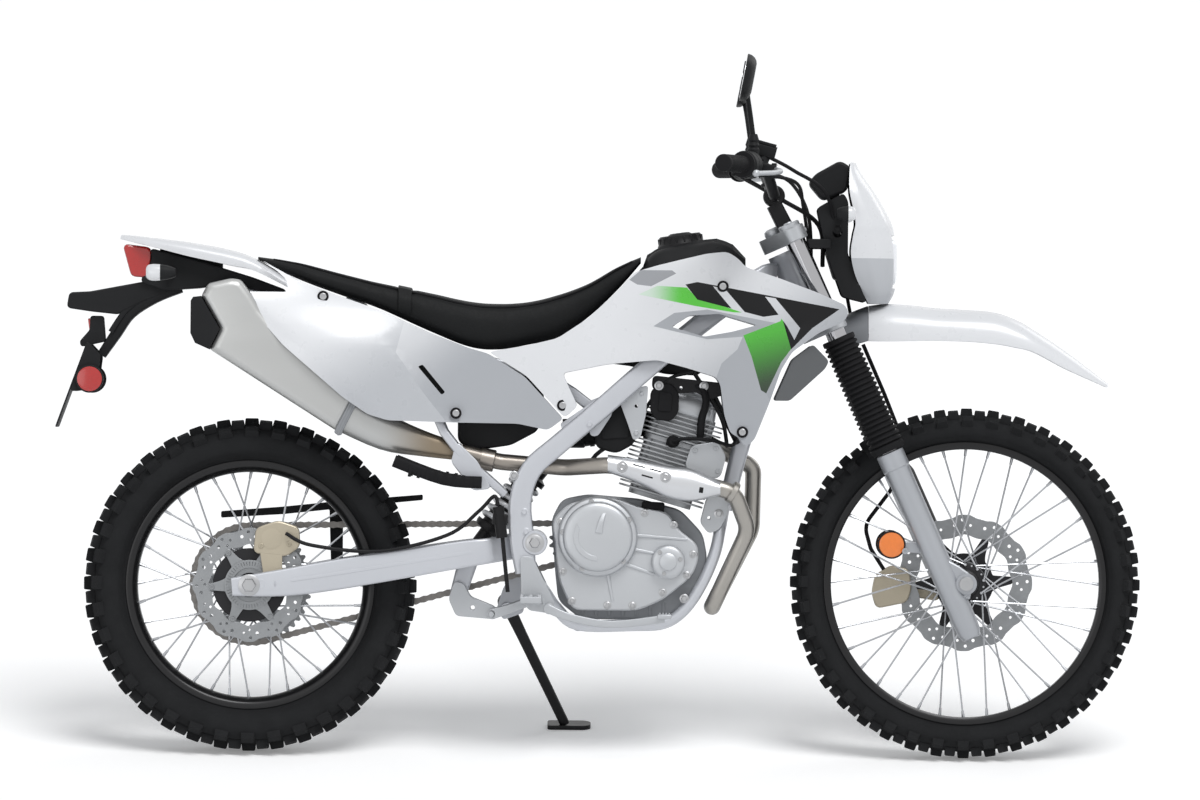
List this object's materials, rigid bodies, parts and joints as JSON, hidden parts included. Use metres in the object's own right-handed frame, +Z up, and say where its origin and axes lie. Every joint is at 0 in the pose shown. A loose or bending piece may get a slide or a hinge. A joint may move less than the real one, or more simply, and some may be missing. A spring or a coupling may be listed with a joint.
{
  "type": "dual sport motorcycle",
  "caption": "Single-seat trail and road motorcycle with long-travel fork, wire wheels, knobbly tyres and an air-cooled upright engine, leaning on its side stand.",
  "frame": {"origin": "middle of the bottom of the parked machine, on the ground", "axes": "+X forwards, +Y to the rider's left, +Z up from the ground the tyres and the side stand rest on"},
  "size_m": [2.0956, 0.8186, 1.3874],
  "materials": {
    "black_hub": "satin black",
    "black_metal": "satin black",
    "black_plastic": "grained black",
    "black_rim": "gloss black anodised",
    "black_rubber": "matt",
    "bolt_steel": "zinc plated",
    "cast_alloy": "cast, bead blasted",
    "chain_steel": "oiled steel",
    "clear_lens": "clear lens",
    "disc_steel": "ground stainless",
    "engine_silver": "silver painted casting",
    "exhaust_steel": "stainless, heat tinted",
    "fin_alloy": "raw casting",
    "fork_alloy": "satin silver",
    "fork_chrome": "hard chrome",
    "frame_paint": "silver paint",
    "lamp_glass": "clear",
    "orange_lens": "orange reflector",
    "red_lens": "red lens",
    "seat_vinyl": "grained black vinyl",
    "spoke_steel": "bright plated",
    "tyre_rubber": "matt black knobbly rubber",
    "white_plastic": "gloss white"
  },
  "bodies": {
    "chassis": {"frame": "frame_paint", "subframe": "frame_paint", "swingarm": "cast_alloy", "rear_axle": "bolt_steel", "rear_linkage": "cast_alloy", "rear_shock": "black_metal", "crankcase": "engine_silver", "engine_covers": "engine_silver", "rear_caliper": "cast_alloy", "cylinder": "fin_alloy", "header_pipe": "exhaust_steel", "heat_shield": "disc_steel", "muffler": "disc_steel", "muffler_end_cap": "black_metal", "intake": "black_plastic", "chain": "chain_steel", "front_sprocket": "chain_steel", "chain_guard": "black_plastic", "seat": "seat_vinyl", "fuel_tank": "black_plastic", "fuel_cap": "black_plastic", "side_shrouds": "white_plastic", "side_covers": "white_plastic", "rear_fender": "white_plastic", "plate_holder": "black_plastic", "rear_lamps": "red_lens", "rear_indicators": "clear_lens", "footpegs": "cast_alloy", "foot_controls": "cast_alloy"},
    "steering": {"fork_clamps": "cast_alloy", "fork_tubes": "fork_chrome", "fork_boots": "black_rubber", "fork_lowers": "fork_alloy", "front_axle": "bolt_steel", "handlebar": "frame_paint", "grips": "black_rubber", "hand_controls": "black_plastic", "mirrors": "black_plastic", "headlight_cowl": "white_plastic", "headlamp": "lamp_glass", "headlight_bracket": "black_plastic", "meter": "black_plastic", "front_indicators": "clear_lens", "front_fender": "white_plastic", "front_caliper": "cast_alloy", "fork_guard": "black_plastic", "brake_hose": "black_rubber", "front_reflectors": "orange_lens"},
    "front_wheel": {"front_tyre": "tyre_rubber", "front_rim": "black_rim", "front_spokes": "spoke_steel", "front_hub": "black_hub", "front_disc": "disc_steel"},
    "rear_wheel": {"rear_tyre": "tyre_rubber", "rear_rim": "black_rim", "rear_spokes": "spoke_steel", "rear_hub": "black_hub", "rear_disc": "disc_steel", "rear_sprocket": "disc_steel"},
    "stand": {"side_stand": "frame_paint"}
  },
  "joints": [
    {"name": "steering_turn", "type": "hinge", "parent": "chassis", "child": "steering", "pos_m": [0.65379, -0.14205, 0.30951], "axis": [-0.4147, 0.158, 0.8961], "range_deg": [-40, 40]},
    {"name": "front_wheel_spin", "type": "hinge", "parent": "steering", "child": "front_wheel", "pos_m": [0.71021, -0.13758, 0.33483], "axis": [0, 0.9848, -0.1736], "continuous": true},
    {"name": "rear_wheel_spin", "type": "hinge", "parent": "chassis", "child": "rear_wheel", "pos_m": [-0.66979, -0.14037, 0.31902], "axis": [0, 0.9848, -0.1736], "continuous": true},
    {"name": "side_stand_fold", "type": "hinge", "parent": "chassis", "child": "stand", "pos_m": [-0.17579, -0.02971, 0.26707], "axis": [-0.0858, 0.9485, 0.3048], "range_deg": [0, 96.5]}
  ]
}
